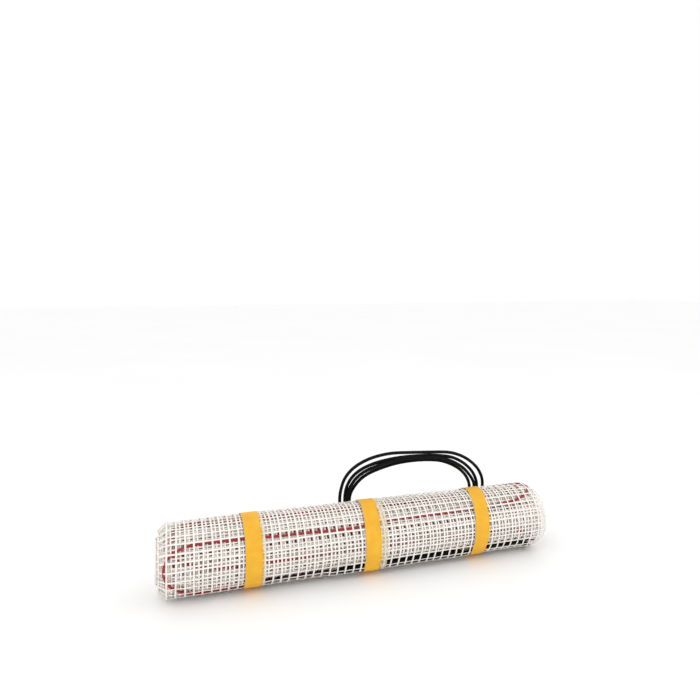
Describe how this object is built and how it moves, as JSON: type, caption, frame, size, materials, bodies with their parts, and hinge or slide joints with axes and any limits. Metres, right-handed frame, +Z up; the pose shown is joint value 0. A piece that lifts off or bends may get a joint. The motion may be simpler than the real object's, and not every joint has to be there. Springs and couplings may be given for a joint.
{
  "type": "underfloor heating mat",
  "caption": "Rolled underfloor heating mat: open glass-fibre mesh over a serpentine heating cable, held by tape bands, with a coiled cold lead behind it.",
  "frame": {"origin": "on the floor under the middle of the roll", "axes": "+X along the roll, +Y away from the front towards the coiled lead, +Z up"},
  "size_m": [0.5, 0.1071, 0.1368],
  "materials": {
    "coated_glass_mesh": "flat white coated yarns, 10 mm open mesh",
    "red_cable_sheath": "extruded, semi-gloss red",
    "joint_sleeve": "shrunk dark sleeve",
    "black_lead_sheath": "extruded, satin black",
    "yellow_tape": "matte yellow adhesive tape",
    "clear_tape": "thin translucent film",
    "tie_plastic": "moulded black nylon"
  },
  "bodies": {
    "root": {"mat_roll": "coated_glass_mesh", "heating_cable": "red_cable_sheath", "cable_joint": "joint_sleeve", "lead_under_mesh": "black_lead_sheath", "cold_lead": "black_lead_sheath", "cold_lead_coil": "black_lead_sheath", "tape_band_left": "yellow_tape", "tape_band_middle": "yellow_tape", "tape_band_right": "yellow_tape", "clear_strip_left": "clear_tape", "clear_strip_middle": "clear_tape", "coil_tie": "tie_plastic"}
  },
  "joints": []
}
